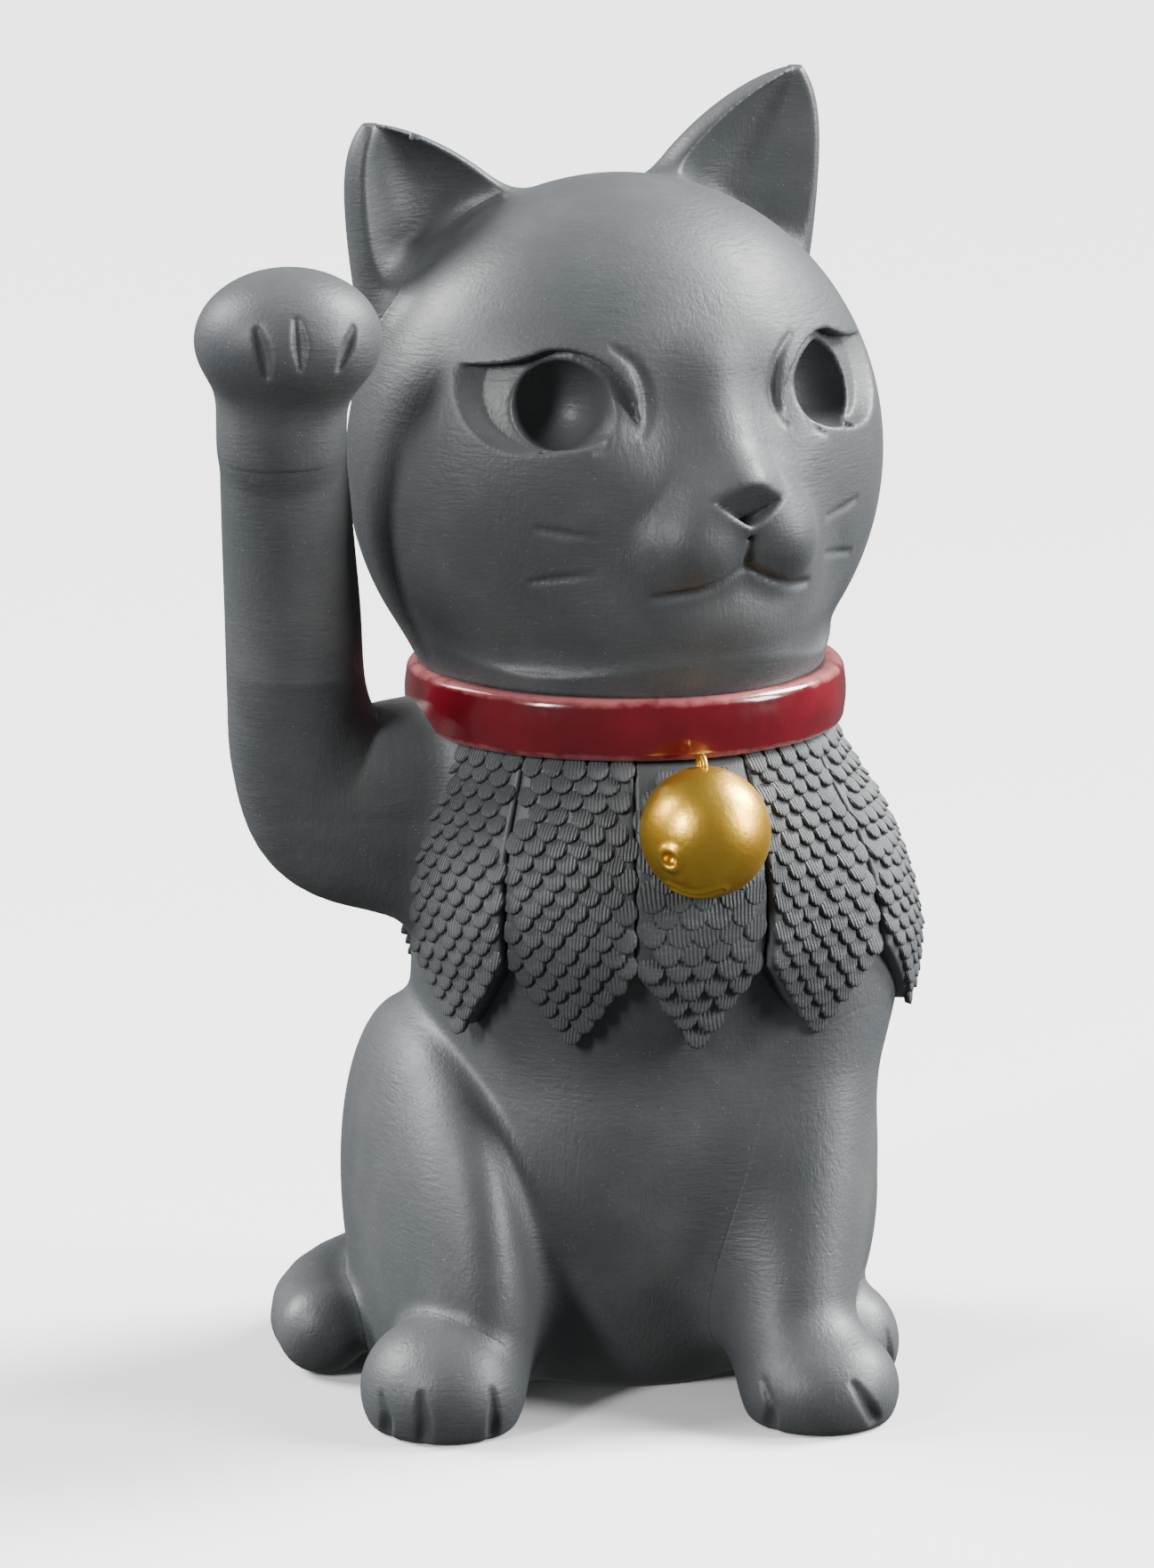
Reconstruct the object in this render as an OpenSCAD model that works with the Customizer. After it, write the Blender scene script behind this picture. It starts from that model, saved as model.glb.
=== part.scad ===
// Seated beckoning cat, put together from hollow cast pieces and hand-pressed pieces.
// +Z is up, the figure faces -Y, its left side is +X, and it stands on Z = 0. All lengths in millimetres.

/* [Casting] */
// Wall of the hollow body and head
wall = 4; // [3:0.5:5]
// Slip joint between a piece and the one it sits on
seam = 0.15; // [0.1:0.05:0.3]
// Thickness of the disc that closes the underside
base_t = 4; // [3:0.5:6]
// Diameter of the vent hole in that disc
vent_d = 12; // [6:1:20]

/* [Neck and collar] */
// Radius of the neck under the collar
neck_r = 34.4; // [33:0.2:35]
// Height of the joint between body and head
neck_z = 123; // [121:0.5:125]
// Outer radius of the collar
collar_r = 39; // [38:0.5:41]
// Height of the collar band
collar_h = 11; // [9:0.5:12]
// Radius of the collar's rounded edges
collar_edge = 1.2; // [0.6:0.1:1.8]

/* [Bib] */
// Number of petals, from the front of the raised arm round to its back
petals = 10; // [8:1:10]
// Angle left free for the raised arm and its shoulder
arm_slot = 48; // [46:1:54]
// Height of the petal tips
petal_tip_z = 68; // [66:1:74]
// Height of the notches between the petals
petal_notch_z = 81; // [78:1:88]
// Thickness of a petal at its lower edge
petal_t = 5; // [2:0.2:5]
// Groove between two petals
petal_gap = 0.5; // [0.3:0.1:1]

/* [Bell] */
// Diameter of the bell
bell_d = 23; // [18:0.5:26]
// Wall of the bell
bell_wall = 1.4; // [1:0.1:2]
// Diameter of the sound hole
bell_hole_d = 3; // [2:0.2:4]
// Width of the slot that runs from the sound hole
bell_slot_w = 0.8; // [0.6:0.1:1.2]

/* [Head] */
// Turn of the face towards the figure's left
head_turn = 10; // [0:1:20]
// Height of the tip of the right ear
right_ear_z = 224.5; // [220:0.5:228]
// Height of the tip of the left ear, the highest point of the figure
left_ear_z = 230; // [224:0.5:234]
// Distance of each ear tip from the middle of the head
ear_reach = 43.5; // [40:0.5:45]

/* [Raised arm] */
// Height of the wrist
wrist_z = 178; // [170:1:182]
// Radius of the forearm at the wrist
wrist_r = 11; // [10:0.5:12]
// Width of the raised paw
paw_w = 33; // [28:1:34]
// Height of the raised paw above the wrist
paw_h = 25.5; // [22:0.5:28]

/* [Feet and tail] */
// Width of each paw on the ground
foot_w = 27; // [24:1:28]
// Height of each hind foot
foot_h = 19; // [16:1:20]
// Diameter of the tail
tail_d = 16.4; // [14:0.2:17]

/* [Hidden] */

// Place of the neck's axis in the frame, whose origin is under the middle of the whole figure
axis_at = [14.8, 3.4, 0];

bisque = "#4d5357";
glaze = "#961428";
gold = "#c9a227";

// Half sizes and centres of the masses that the figure is modelled from, measured from the neck's axis
chest_c = [0, -2, 92];
chest_r = [39.5, 42, 40];
belly_c = [0, 5, 44];
belly_r = [40, 43, 58];
shoulder_c = [24.5, -6, 80];
shoulder_r = [22, 28, 33];
right_haunch_c = [-36, -2, 27];
right_haunch_r = [14.8, 36, 40];
// The right haunch leans back as it rises
haunch_lean = 0.28;
left_haunch_c = [23.5, 2, 32];
left_haunch_r = [22, 37, 39];
neck_from_z = 98;
skull_c = [0, 4, 164.5];
skull_r = [49.2, 41.5, 50];
chin_c = [0, -21, 141];
chin_r = [23, 19, 18];
muzzle_c = [0, -31, 155];
muzzle_r = [17, 14, 12];
eye_c = [22, -38, 181];
eye_r = [12, 7, 9];
head_c = [0, 5, 166];
neck_to_z = 130;
ear_foot_z = 186;
ear_half_w = 20;
ear_half_d = 9;
ear_edge = 47.5;
ear_back = 16;

// Meshing: points round a ring and height between rings
around = 56;
ring_gap = 5;

function mix(a, b, t) = a + (b - a) * t;
function limit(x, low, high) = max(low, min(high, x));

// Distance to the union of two masses, rounded over the width k where they meet
function blend(a, b, k) =
    let (h = max(k - abs(a - b), 0) / k)
    min(a, b) - h * h * k / 4;

// Distance to mass a with mass b taken out of it
function carve(a, b, k) = -blend(-a, b, k);

// Distance to an ellipsoid with centre c and half sizes r
function egg(p, c, r) =
    let (q = p - c, s = [q.x / r.x, q.y / r.y, q.z / r.z], n = norm(s),
        g = norm([s.x / r.x, s.y / r.y, s.z / r.z]))
    g < 0.0001 ? -min(r) : n * (n - 1) / g;

// Distance to a rod from a to b whose radius runs from ra to rb
function rod(p, a, b, ra, rb) =
    let (ab = b - a, t = limit((p - a) * ab / (ab * ab), 0, 1))
    norm(p - a - ab * t) - mix(ra, rb, t);

// The collar sits on the necks of body and head, between these two heights
shelf_z = neck_z - collar_h / 2 - seam;
brim_z = neck_z + collar_h / 2 + seam;

function neck(p) = norm([p.x, p.y]) - neck_r;

body_form = function (p)
    let (torso = blend(blend(egg(p, chest_c, chest_r), egg(p, belly_c, belly_r), 12),
            egg(p, shoulder_c, shoulder_r), 10),
        leaned = p - [0, haunch_lean * (p.z - right_haunch_c.z), 0],
        seat = blend(blend(torso, egg(leaned, right_haunch_c, right_haunch_r), 16),
            egg(p, left_haunch_c, left_haunch_r), 5))
    max(blend(seat, max(neck(p), neck_from_z - p.z), 6), min(neck(p), p.z - shelf_z));

// The head is symmetrical in its own turned frame
function face(p) =
    let (c = cos(head_turn), s = sin(head_turn))
    [p.x * c + p.y * s, p.y * c - p.x * s, p.z];
function unface(p) =
    let (c = cos(head_turn), s = sin(head_turn))
    [p.x * c - p.y * s, p.y * c + p.x * s, p.z];

head_form = function (p)
    let (q = face(p), m = [abs(q.x), q.y, q.z],
        skull = blend(egg(q, skull_c, skull_r), egg(q, chin_c, chin_r), 10),
        nose = rod(q, [0, -28, 188], [0, -39, 166], 9, 6),
        snout = blend(blend(skull, nose, 8), egg(q, muzzle_c, muzzle_r), 8),
        carved = carve(snout, egg(m, eye_c, eye_r), 4))
    max(blend(carved, max(neck(p), p.z - neck_to_z), 8), min(neck(p), brim_z - p.z));

// Distance from c along d at which a form reaches the given depth
function reach(form, c, d, depth, near = 0, far = 75, steps = 15) =
    let (mid = (near + far) / 2)
    steps == 0 ? mid
    : form(c + d * mid) < depth ? reach(form, c, d, depth, mid, far, steps - 1)
    : reach(form, c, d, depth, near, mid, steps - 1);

// Moves a point that lies in a form out of it along d
function clear_of(form, p, d) = form(p) >= seam ? p : p + d * reach(form, p, d, seam);

function centre(ring) = [for (k = [0:2]) [for (p = ring) p[k]] * [for (p = ring) 1 / len(ring)]];

// Rings seated on a form: the first ring is filled in, and every point in the form moves out of it along d
function seated(form, rings, d) =
    let (c = centre(rings[0]), fill = [for (s = [0.02, 0.35, 0.7]) [for (p = rings[0]) mix(c, p, s)]])
    [for (ring = concat(fill, rings)) [for (p = ring) clear_of(form, p, d / norm(d))]];

function turn(a) = [cos(a), sin(a), 0];
function level_ring(form, z, depth) =
    [for (i = [0:around - 1])
        let (c = [0, 5, z], d = turn(360 * i / around))
        c + d * reach(form, c, d, depth)];
function oval(c, rx, ry, n) = [for (i = [0:n - 1]) c + [rx * cos(360 * i / n), ry * sin(360 * i / n), 0]];

// Closed skin over rings of equal length; loop joins the last ring to the first, else both ends are capped
module skin(rings, loop = false) {
    n = len(rings[0]);
    m = len(rings);
    sides = [for (j = [0:(loop ? m : m - 1) - 1], i = [0:n - 1])
        let (k = (i + 1) % n, a = j * n + i, b = j * n + k, c = (j + 1) % m * n + k, d = (j + 1) % m * n + i)
        each [[a, c, b], [a, d, c]]];
    caps = loop ? [] : [for (i = [0:n - 1])
        let (k = (i + 1) % n, e = (m - 1) * n)
        each [[i, k, m * n], [e + k, e + i, m * n + 1]]];
    points = [for (ring = rings) each ring];
    ends = loop ? [] : [centre(rings[0]), centre(rings[m - 1])];
    polyhedron(concat(points, ends), concat(sides, caps), 4);
}

// ---- Hollow body and its base disc ----

module body_shell() color(bisque) translate(axis_at) {
    steps = round(shelf_z / ring_gap);
    levels = [for (i = [0:steps]) shelf_z * i / steps, shelf_z + 0.1, neck_z - seam / 2];
    outside = [for (z = levels) level_ring(body_form, z, 0)];
    inside = [for (i = [len(levels) - 1:-1:0]) level_ring(body_form, levels[i], -wall)];
    skin(concat(outside, inside), loop = true);
}

module base_plate() color(bisque) translate(axis_at)
    difference() {
        linear_extrude(base_t) polygon([for (p = level_ring(body_form, 0, -wall - 2 * seam)) [p.x, p.y]]);
        translate([0, 5, -1]) cylinder(d = vent_d, h = base_t + 2, $fn = 48);
    }

// ---- Legs, feet and tail ----

// Stack of level ovals: each row gives [z, centre x, centre y, half width, half depth]
function stack(rows, n) = [for (r = rows) oval([r[1], r[2], r[0]], r[3], r[4], n)];

// Rings of a rounded foot that stands at c. Its foot is narrower by undercut, and its top is nearly flat
undercut = 0.1;
foot_steps = 9;
foot_squareness = 3.2;
function foot_rows(c, rx, ry, top) =
    [for (i = [0:foot_steps])
        let (t = i / foot_steps, z = top * sin(90 * t),
            low = 1 - undercut + undercut * sin(180 * min(t * 1.6, 1)),
            s = i == foot_steps ? 0.05 : low * sqrt(1 - pow(z / (top + 0.01), foot_squareness)))
        [z, c.x, c.y, rx * s, ry * s]];

// The left hind foot shows behind the foreleg, and is smaller than the right one
left_foot_at = [32.5, -23];
left_foot_r = [foot_w / 2 - 2.5, 12];
left_foot_h = foot_h - 3;
right_foot_at = [-44, -34];
right_foot_r = [foot_w / 2, 14.5];

module left_hind_foot() color(bisque) translate(axis_at)
    skin(seated(body_form, stack(foot_rows(left_foot_at, left_foot_r.x, left_foot_r.y, left_foot_h), 32),
        [0.25, -1, 0]));

module right_hind_foot() color(bisque) translate(axis_at)
    skin(seated(body_form, stack(foot_rows(right_foot_at, right_foot_r.x, right_foot_r.y, foot_h), 36),
        [-0.6, -1, 0]));

// The foreleg: a paw, the ankle over it, and a leg that runs up and back into the shoulder
paw_at = [21, -49];
paw_depth = 14;
paw_top = 12;
ankle_rows = [[14.5, 20.4, -45.5, 12, 10.8], [17.5, 20, -43.6, 11.6, 9.6]];
leg_low = [19.6, -41.5, 23];
leg_high = [27.5, -26, 67];
leg_low_r = [11.6, 9.8];
leg_high_r = [10.4, 6.5];
foreleg_rows = concat(
    [for (t = [0:0.2:1])
        [paw_top * sin(90 * t), paw_at.x, paw_at.y + 1.5 * t,
            foot_w / 2 * (1 - undercut + undercut * sin(180 * t)), paw_depth * (1 - 0.12 * t)]],
    ankle_rows,
    [for (t = [0:0.125:1])
        let (c = mix(leg_low, leg_high, t))
        [c.z, c.x, c.y, mix(leg_low_r.x, leg_high_r.x, t), mix(leg_low_r.y, leg_high_r.y, t * t)]]);

module left_foreleg() color(bisque) translate(axis_at)
    skin(seated(body_form, stack(foreleg_rows, 36), [0.35, -1, 0]));

// The tail lies round the back on an oval and ends in a blunt tip beside the right haunch
tail_oval_c = [0, 3];
tail_oval_r = [56, 45];
tail_from = 92;
tail_to = -1;
tail_steps = 18;
tip_steps = 3;

module tail() color(bisque) translate(axis_at) {
    r = tail_d / 2;
    rings = [for (i = [0:tail_steps])
        let (a = mix(tail_from, tail_to, i / tail_steps),
            c = [tail_oval_c.x - tail_oval_r.x * cos(a), tail_oval_c.y + tail_oval_r.y * sin(a), r],
            t = turn(atan2(-tail_oval_r.y * cos(a), -tail_oval_r.x * sin(a))),
            near_tip = max(0, i - tail_steps + tip_steps),
            s = i == tail_steps ? 0.3 : sqrt(1 - pow(near_tip / (tip_steps + 0.4), 2)))
        [for (k = [0:19]) let (b = 18 * k) c + r * s * (cos(b) * [-t.y, t.x, 0] + sin(b) * [0, 0, 1])]];
    skin([for (ring = rings) [for (p = ring)
        clear_of(body_form, p, [p.x, p.y - tail_oval_c.y - 1, 0] / norm([p.x, p.y - tail_oval_c.y - 1]))]]);
}

// ---- Bib of scaled petals ----

// The bib starts at the front of the raised arm; angles run from the front of the figure to its left
bib_from = -77.5;
petal_span = (360 - arm_slot) / petals;
petal_top_z = shelf_z - 0.1;
petal_top_t = 1.6;
// How much thinner the petals in front are
front_thinning = 0.35;
// Rounding of a petal's lower edge
petal_round = 0.8;
across = 6;
down = 14;

// Thickness of the bib: thin under the collar, full at the petals' tips and thinner towards the front
function petal_thick(z, a) =
    let (t = limit((petal_top_z - z) / (petal_top_z - petal_notch_z), 0, 1), front = 0.5 + 0.5 * cos(a))
    mix(petal_top_t, petal_t * (1 - front_thinning * front * front), pow(t, 1.5));

module petal(i) color(bisque) translate(axis_at) {
    half_gap = petal_gap / 2 / 45 * 180 / PI;
    start = bib_from + i * petal_span;
    grid = function (outer) [for (v = [0:down], u = [0:across])
        let (a = start + mix(half_gap, petal_span - half_gap, u / across),
            end = mix(petal_tip_z, petal_notch_z, pow(abs(2 * u / across - 1), 1.2)),
            z = mix(end, petal_top_z, v / down),
            lift = outer ? petal_thick(z, a) - (v == 0 ? petal_round : 0) : 0,
            c = [0, 0, z], d = turn(a - 90))
        c + d * (reach(body_form, c, d, seam) + lift)];
    w = across + 1;
    n = w * (down + 1);
    rim = concat([for (u = [0:across - 1]) u], [for (v = [0:down - 1]) v * w + across],
        [for (u = [across:-1:1]) down * w + u], [for (v = [down:-1:1]) v * w]);
    skins = [for (v = [0:down - 1], u = [0:across - 1])
        let (a = v * w + u, b = a + 1, c = b + w, d = a + w)
        each [[a, c, b], [a, d, c], [a + n, b + n, c + n], [a + n, c + n, d + n]]];
    edges = [for (k = [0:len(rim) - 1])
        let (a = rim[k], b = rim[(k + 1) % len(rim)])
        each [[a, b, b + n], [a, b + n, a + n]]];
    polyhedron(concat(grid(true), grid(false)), concat(skins, edges), 4);
}

module petal_01() petal(0);
module petal_02() petal(1);
module petal_03() petal(2);
module petal_04() petal(3);
module petal_05() petal(4);
module petal_06() petal(5);
module petal_07() petal(6);
module petal_08() petal(7);
module petal_09() petal(8);
module petal_10() petal(9);

// ---- Glazed collar ----

module collar() color(glaze) translate(axis_at + [0, 0, neck_z - collar_h / 2])
    rotate_extrude($fn = 96) {
        inner = neck_r + seam;
        translate([inner, 0]) square([collar_r - inner - collar_edge, collar_h]);
        translate([inner, collar_edge]) square([collar_r - inner, collar_h - 2 * collar_edge]);
        for (z = [collar_edge, collar_h - collar_edge])
            translate([collar_r - collar_edge, z]) circle(collar_edge, $fn = 32);
    }

// ---- Hollow head and its ears ----

module head_shell() color(bisque) translate(axis_at) {
    bottom = neck_z + seam / 2;
    // Rings above a rim, from its own slope up to just below the crown
    shell = function (edge, depth) [for (k = [1:24])
        [for (i = [0:around - 1])
            let (low = edge[i] - head_c, slope = atan2(low.z, norm([low.x, low.y])),
                e = mix(slope, 88, k / 24), d = turn(360 * i / around) * cos(e) + [0, 0, sin(e)])
            head_c + d * reach(head_form, head_c, d, depth)]];
    rim_in = level_ring(head_form, bottom, -wall);
    brim = level_ring(head_form, brim_z - 0.1, 0);
    outside = concat([level_ring(head_form, bottom, 0), brim], shell(brim, 0));
    inside = concat([rim_in], shell(rim_in, -wall));
    skin(concat([for (k = [24:-1:0]) inside[k]], outside));
}

// An ear rises from the side of the head and is hollowed in front; side is -1 for the right, 1 for the left
ear_levels = 13;
ear_around = 24;
ear_round = 0.2;
ear_dish = 1.3;
// The foot of the ear lies this much nearer to the middle of the head than its widest place
ear_foot_in = 4;

module ear(side, tip_z) color(bisque) translate(axis_at) {
    rings = [for (k = [0:ear_levels])
        let (t = sin(90 * k / ear_levels), z = mix(ear_foot_z, tip_z, t), narrow = 1 - pow(t, 2.6),
            rx = ear_half_w * pow(narrow, 0.66) + ear_round, ry = ear_half_d * pow(narrow, 0.5) + ear_round,
            edge = ear_edge - ear_foot_in * pow(1 - t, 2) - (ear_edge - ear_reach) * pow(t, 8),
            c = [side * (edge - rx), ear_back, z])
        [for (i = [0:ear_around - 1])
            let (a = 360 * i / ear_around,
                hollow = sin(a) < 0 ? ear_dish * ry * pow(-sin(a), 3) * limit(4 * t - 2, 0, 1) : 0)
            unface(c + [rx * cos(a), ry * sin(a) + hollow, 0])]];
    skin(seated(head_form, rings, [0, 0, 1]));
}

module left_ear() ear(1, left_ear_z);
module right_ear() ear(-1, right_ear_z);

// ---- Raised arm and paw ----

// The elbow bends round this point. Its inside lies elbow_in away, its outside elbow_under below and
// elbow_beside away at the forearm
elbow = [-43.6, 2, 126.5];
elbow_in = 3.5;
elbow_under = 43;
elbow_beside = 28;
function elbow_out(a) = mix(elbow_under, elbow_beside, pow(sin(a), 1.2));
arm_half_depth = 10;
arm_around = 28;
forearm_r = 12.4;
// The forearm curves outward a little
forearm_bow = 1.2;
wrist_c = [-65.3, -13, wrist_z];

// The arm grows out of the body just behind the first petal, and its top touches the collar
arm_seat = function (p) min(body_form(p), max(norm([p.x, p.y]) - collar_r, shelf_z - 6 - p.z));

module raised_arm() color(bisque) translate(axis_at) {
    ring = function (c, u, half, depth) [for (i = [0:arm_around - 1])
        let (a = 360 * i / arm_around) c + [0, cos(a) * depth, 0] + u * sin(a) * half];
    shoulder = [for (x = [12, 6])
        ring(elbow + [x, 0, -(elbow_under + elbow_in) / 2], [0, 0, -1],
            (elbow_under - elbow_in) / 2, arm_half_depth)];
    bend = [for (a = [0:10:90])
        let (out = elbow_out(a), e = [-sin(a), 0, -cos(a)])
        ring(elbow + e * (out + elbow_in) / 2, e, (out - elbow_in) / 2, arm_half_depth)];
    top = elbow - [(elbow_beside + elbow_in) / 2, 0, 0];
    forearm = [for (k = [1:8])
        let (t = k / 8, r = mix(forearm_r, wrist_r, sin(90 * t)), d = mix(arm_half_depth, wrist_r, t))
        ring(mix(top, wrist_c, t) - [forearm_bow * sin(180 * t), 0, 0], [-1, 0, 0], r, d)];
    skin(seated(arm_seat, concat(shoulder, bend, forearm), [-1, 0, 0]));
}

// The paw is widest at paw_wide_at of its height and leans forward and inward by paw_shift
paw_wide_at = 0.47;
paw_shift = [1, -2];
paw_flatness = 0.92;

module raised_paw() color(bisque) translate(axis_at) {
    widest = paw_w / 2;
    lift = paw_wide_at * paw_h;
    rows = [for (k = [0:14])
        let (t = k / 14, z = seam + paw_h * (1 - cos(180 * t)) / 2, up = min(z / lift, 1),
            low = mix(wrist_r, widest, pow(sin(90 * up), 1.5)),
            high = widest * sqrt(max(1 - pow(limit((z - lift) / (paw_h - lift + 0.05), 0, 1), 2.2), 0.002)),
            r = min(low, high))
        [wrist_z + z, wrist_c.x + paw_shift.x * up, wrist_c.y + paw_shift.y * up, r, paw_flatness * r]];
    skin(stack(rows, 32));
}

// ---- Bell ----

bell_c = [0, -46, neck_z - collar_h / 2 - 0.6 - bell_d / 2];
bell_lean = 20;
bell_back = 0.4;
// Direction of the sound hole: low on the right of the bell
hole_turn = [0, 20, -38];
loop_r = 2;
loop_wire = 0.8;
loop_at = [0, 1.5, -0.3];

module bell() color(gold) translate(axis_at + bell_c)
    difference() {
        sphere(d = bell_d, $fn = 64);
        sphere(d = bell_d - 2 * bell_wall, $fn = 64);
        // Flat back that rests on the bib
        rotate([-bell_lean, 0, 0]) translate([-bell_d, bell_back, -bell_d]) cube(2 * bell_d);
        rotate(hole_turn) rotate([90, 0, 0]) cylinder(d = bell_hole_d, h = bell_d, $fn = 32);
        rotate(hole_turn) translate([0, -bell_d, -bell_slot_w / 2]) cube([bell_d, bell_d, bell_slot_w]);
    }

module bell_loop() color(gold) translate(axis_at)
    difference() {
        translate(bell_c + [0, 0, bell_d / 2] + loop_at) rotate([0, 90, 0])
            rotate_extrude($fn = 32) translate([loop_r, 0]) circle(loop_wire, $fn = 16);
        translate(bell_c) sphere(d = bell_d + 2 * seam, $fn = 64);
        translate([0, 0, neck_z - 12]) cylinder(r = collar_r + seam, h = 30, $fn = 96);
    }

body_shell();
base_plate();
left_hind_foot();
right_hind_foot();
left_foreleg();
tail();
petal_01();
petal_02();
petal_03();
petal_04();
petal_05();
petal_06();
petal_07();
petal_08();
petal_09();
petal_10();
collar();
head_shell();
left_ear();
right_ear();
raised_arm();
raised_paw();
bell();
bell_loop();
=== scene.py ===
import math

import bpy
import numpy as np
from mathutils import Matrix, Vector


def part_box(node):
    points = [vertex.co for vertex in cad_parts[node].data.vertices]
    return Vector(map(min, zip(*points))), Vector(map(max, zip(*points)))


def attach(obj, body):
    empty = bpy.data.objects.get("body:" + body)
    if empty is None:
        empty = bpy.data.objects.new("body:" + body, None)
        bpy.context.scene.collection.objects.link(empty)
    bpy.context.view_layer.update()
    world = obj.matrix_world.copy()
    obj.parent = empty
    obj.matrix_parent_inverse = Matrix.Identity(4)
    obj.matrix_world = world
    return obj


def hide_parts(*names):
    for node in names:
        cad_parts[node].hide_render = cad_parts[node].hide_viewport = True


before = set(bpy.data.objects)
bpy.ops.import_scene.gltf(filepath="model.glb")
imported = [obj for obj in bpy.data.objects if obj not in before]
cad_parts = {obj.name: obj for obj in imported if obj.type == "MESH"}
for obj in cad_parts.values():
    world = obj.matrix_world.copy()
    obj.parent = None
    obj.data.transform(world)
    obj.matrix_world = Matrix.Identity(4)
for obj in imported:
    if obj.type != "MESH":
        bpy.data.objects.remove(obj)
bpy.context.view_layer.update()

import openvdb
from mathutils import Matrix, Vector

# ---- Camera -------------------------------------------------------------------------------------
# A long lens a little above the figure's middle, turned to the raised arm's side of its front.

MM = 0.001
collar_low, collar_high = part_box("collar")
# The neck's axis on the floor: every form below is measured from it, in millimetres.
AXIS = np.array([(collar_low[0] + collar_high[0]) / 2, (collar_low[1] + collar_high[1]) / 2, 0.0])

camera_data = bpy.data.cameras.new("camera")
camera_data.sensor_width = 36.0
camera_data.lens = 172.6
camera_data.clip_end = 20.0
camera = bpy.data.objects.new("camera", camera_data)
bpy.context.collection.objects.link(camera)
camera_back = Vector((-0.2854, -0.9336, 0.2164)).normalized()
camera_right = Vector((0.9563, -0.2924, 0.0)).normalized()
camera_up = camera_back.cross(camera_right).normalized()
camera.matrix_world = Matrix((
    (camera_right.x, camera_up.x, camera_back.x, AXIS[0] - 0.3917),
    (camera_right.y, camera_up.y, camera_back.y, AXIS[1] - 1.2515),
    (camera_right.z, camera_up.z, camera_back.z, 0.3959),
    (0, 0, 0, 1)))
bpy.context.scene.camera = camera

# ---- Floor and light ----------------------------------------------------------------------------
# A pale sweep under broad soft light: the key stands high on the right and a little behind, a second
# one high on the left and behind, so that the front of the body stays in its own shade.

floor_mesh = bpy.data.meshes.new("floor")
floor_reach = 14.0
floor_corners = [(x * floor_reach, y * floor_reach, 0) for x, y in ((-1, -1), (1, -1), (1, 1), (-1, 1))]
floor_mesh.from_pydata(floor_corners, [], [(0, 1, 2, 3)])
floor_paint = bpy.data.materials.new("pale_floor")
floor_paint.use_nodes = True
floor_paint.node_tree.nodes["Principled BSDF"].inputs["Base Color"].default_value = (0.93, 0.93, 0.93, 1)
floor_paint.node_tree.nodes["Principled BSDF"].inputs["Roughness"].default_value = 0.9
floor_mesh.materials.append(floor_paint)
floor = bpy.data.objects.new("floor", floor_mesh)
bpy.context.collection.objects.link(floor)
# The floor takes shadows, but throws no light back up at the dark clay
floor.visible_diffuse = False
floor.visible_glossy = False

world = bpy.data.worlds.new("studio")
bpy.context.scene.world = world
world.use_nodes = True
world.node_tree.nodes["Background"].inputs["Color"].default_value = (1, 1, 1, 1)
world.node_tree.nodes["Background"].inputs["Strength"].default_value = 0.17


def lamp(name, kind, place, power, **settings):
    """A lamp that faces the middle of the figure."""
    data = bpy.data.lights.new(name, kind)
    data.energy = power
    for key, value in settings.items():
        setattr(data, key, value)
    made = bpy.data.objects.new(name, data)
    made.location = place
    made.rotation_euler = (Vector(place) - Vector((0, 0, 0.13))).to_track_quat("Z", "Y").to_euler()
    bpy.context.collection.objects.link(made)


lamp("key_right", "SUN", (1.0, 0.16, 0.95), 10.5, angle=math.radians(24))
lamp("second_left", "SUN", (-0.9, 0.6, 0.9), 7.0, angle=math.radians(30))
lamp("window_right", "AREA", (0.9, -0.45, 0.5), 18.0, shape="RECTANGLE", size=0.25, size_y=0.5)
lamp("window_left", "AREA", (-0.9, -0.5, 0.6), 12.0, shape="RECTANGLE", size=0.15, size_y=0.4)

# ---- Body ---------------------------------------------------------------------------------------
# Slip-cast torso, haunches and shoulder in one hollow piece of matte blue-grey bisque. The wet seams
# to the limbs were smoothed over, so the pieces run into each other without a line.


def egg(p, centre, radii):
    """Distance to an ellipsoid."""
    q = (p - np.float32(centre)) / np.float32(radii)
    n = np.sqrt((q * q).sum(-1))
    g = np.sqrt(((q / np.float32(radii)) ** 2).sum(-1))
    return n * (n - 1) / np.maximum(g, 1e-6)


def rod(p, a, b, ra, rb, squeeze=(1, 1, 1)):
    """Distance to a rod whose radius runs from ra to rb; squeeze above 1 flattens it along an axis."""
    a, b, k = np.float32(a), np.float32(b), np.float32(squeeze)
    ab = (b - a) * k
    q = (p - a) * k
    t = np.clip((q @ ab) / (ab @ ab), 0, 1)
    return np.sqrt(((q - t[..., None] * ab) ** 2).sum(-1)) - (ra + (rb - ra) * t)


def blend(a, b, k):
    """Union of two forms, rounded over the width k."""
    h = np.maximum(k - np.abs(a - b), 0) / k
    return np.minimum(a, b) - h * h * k / 4


def carve(a, b, k):
    """Form a with form b taken out."""
    return -blend(-a, b, k)


def within(a, b, k):
    """The part of form a that lies in form b."""
    return -blend(-a, -b, k)


NECK_R = 34.4
NECK_Z = 123.0
SHELF_Z = NECK_Z - 5.5
BRIM_Z = NECK_Z + 5.5


def neck(p):
    return np.hypot(p[..., 0], p[..., 1]) - NECK_R


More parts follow.
